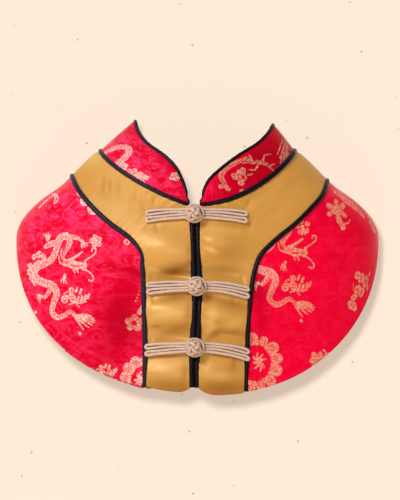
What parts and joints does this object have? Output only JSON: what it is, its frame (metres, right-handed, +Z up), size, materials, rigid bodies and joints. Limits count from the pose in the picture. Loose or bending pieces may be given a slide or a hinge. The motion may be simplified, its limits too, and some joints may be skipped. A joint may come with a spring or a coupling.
{
  "type": "cheongsam capelet",
  "caption": "Small worn capelet with a stand collar, a piped yoke and front placket, round brocade fronts and back, and frog fastenings down the front",
  "frame": {"origin": "the middle of the neck opening, where the wearer's neck holds the capelet", "axes": "+X to the viewer's right across the front, +Y to the back, +Z up; the front with its fastenings faces -Y"},
  "size_m": [0.2416, 0.1246, 0.182],
  "materials": {
    "red_brocade": "red satin brocade woven with gold thread",
    "gold_satin": "plain gold satin",
    "black_satin_piping": "black satin over round cord",
    "beige_frog_cord": "rolled satin cord, beige"
  },
  "bodies": {
    "root": {"front_brocade_left": "red_brocade", "front_brocade_right": "red_brocade", "back_brocade": "red_brocade", "collar": "red_brocade", "front_gold_left": "gold_satin", "front_gold_right": "gold_satin", "back_yoke": "gold_satin", "yoke_piping_left": "black_satin_piping", "yoke_piping_right": "black_satin_piping", "yoke_piping_back": "black_satin_piping", "centre_piping_left": "black_satin_piping", "centre_piping_right": "black_satin_piping", "neck_piping": "black_satin_piping", "collar_piping": "black_satin_piping", "frog_top_knot": "beige_frog_cord", "frog_top_loop": "beige_frog_cord", "frog_middle_knot": "beige_frog_cord", "frog_middle_loop": "beige_frog_cord", "frog_bottom_knot": "beige_frog_cord", "frog_bottom_loop": "beige_frog_cord"}
  },
  "joints": []
}
